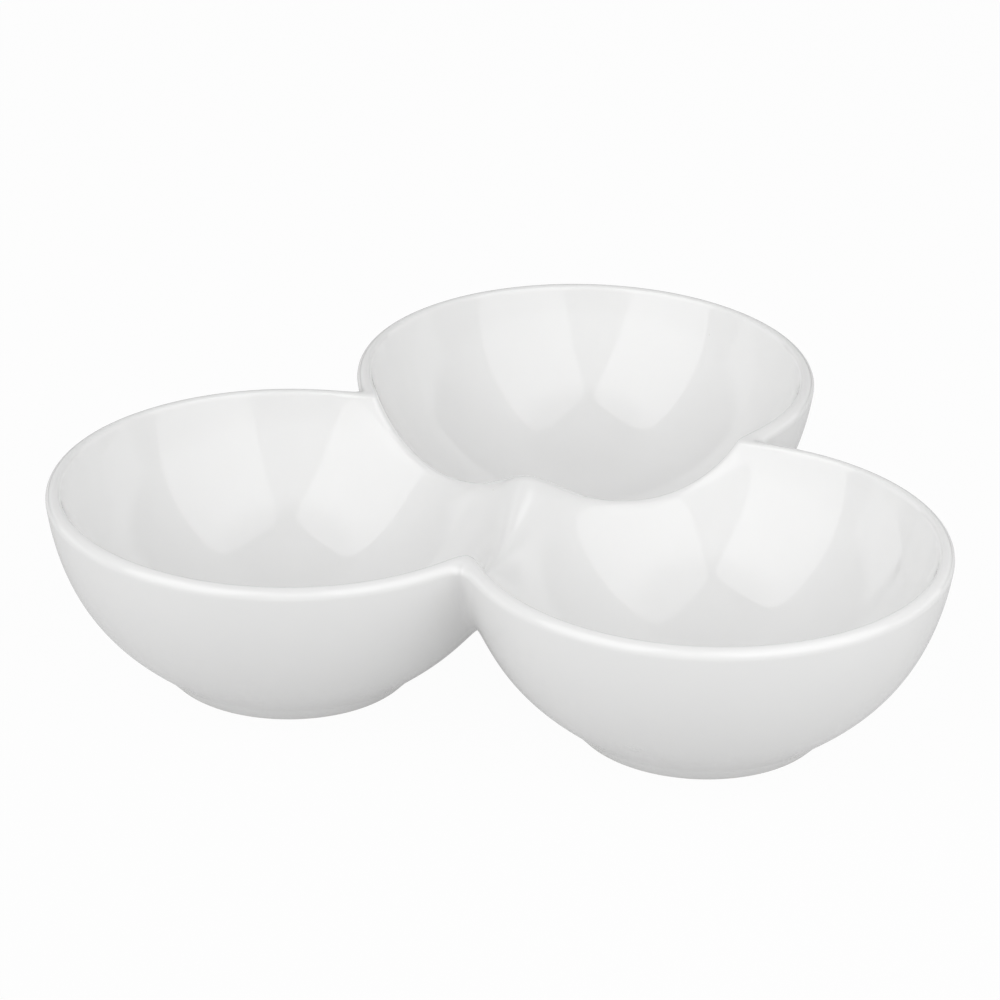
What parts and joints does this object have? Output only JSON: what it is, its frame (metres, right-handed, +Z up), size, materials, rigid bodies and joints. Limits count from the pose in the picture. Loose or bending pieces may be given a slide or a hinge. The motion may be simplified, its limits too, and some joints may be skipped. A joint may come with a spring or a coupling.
{
  "type": "divided serving bowl",
  "caption": "Trefoil serving dish of glazed porcelain: round wells share low rounded dividers, and each well stands on its own foot ring.",
  "frame": {"origin": "middle of the dish's outline, on the plane that the foot rings stand on", "axes": "+Z up; +Y towards the back well; +X towards the right-hand well"},
  "size_m": [0.2556, 0.2396, 0.0563],
  "materials": {
    "glaze": "glossy white glaze over porcelain",
    "foot": "glossy white glaze, wiped back to bare biscuit on the standing flat"
  },
  "bodies": {
    "root": {"bowl_left": "glaze", "bowl_right": "glaze", "bowl_back": "glaze", "divider_front": "glaze", "divider_left": "glaze", "divider_right": "glaze", "centre_peak": "glaze", "foot_left": "foot", "foot_right": "foot", "foot_back": "foot"}
  },
  "joints": []
}
